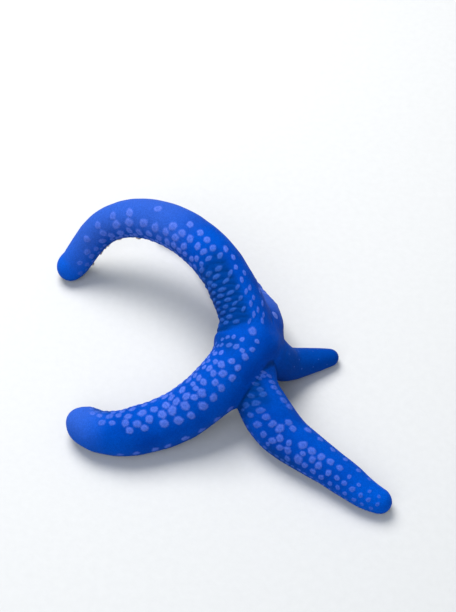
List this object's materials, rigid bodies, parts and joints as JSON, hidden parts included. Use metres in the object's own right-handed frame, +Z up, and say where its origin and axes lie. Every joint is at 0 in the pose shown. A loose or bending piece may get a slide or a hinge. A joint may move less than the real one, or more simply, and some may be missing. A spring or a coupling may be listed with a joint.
{
  "type": "blue starfish",
  "caption": "Life-size still model of a blue starfish draped in a curling pose, its round spotted arms lifted and laid, with tube feet underneath.",
  "frame": {"origin": "on the ground that the animal lies on, under the middle of its footprint", "axes": "+Z up from the ground; +X to the right and +Y away from the viewer of the picture, who looks down at 53 degrees"},
  "size_m": [0.1514, 0.1633, 0.0504],
  "materials": {
    "skin": "wet, finely granular, vivid blue with lilac pore plates",
    "tube_feet": "soft and translucent, pale straw",
    "groove_spines": "matt, pale blue granules",
    "mouth_membrane": "soft, dull",
    "madreporite": "matt, finely grooved, lilac blue",
    "eyespot": "matt, dull red"
  },
  "bodies": {
    "root": {"disc": "skin", "left_arm_root": "skin", "left_arm_inner": "skin", "left_arm_outer": "skin", "left_arm_tip": "skin", "near_arm_root": "skin", "near_arm_inner": "skin", "near_arm_outer": "skin", "near_arm_tip": "skin", "front_arm_root": "skin", "front_arm_middle": "skin", "front_arm_tip": "skin", "short_arm_root": "skin", "back_arm_root": "skin", "back_arm_middle": "skin", "back_arm_tip": "skin"}
  },
  "joints": []
}
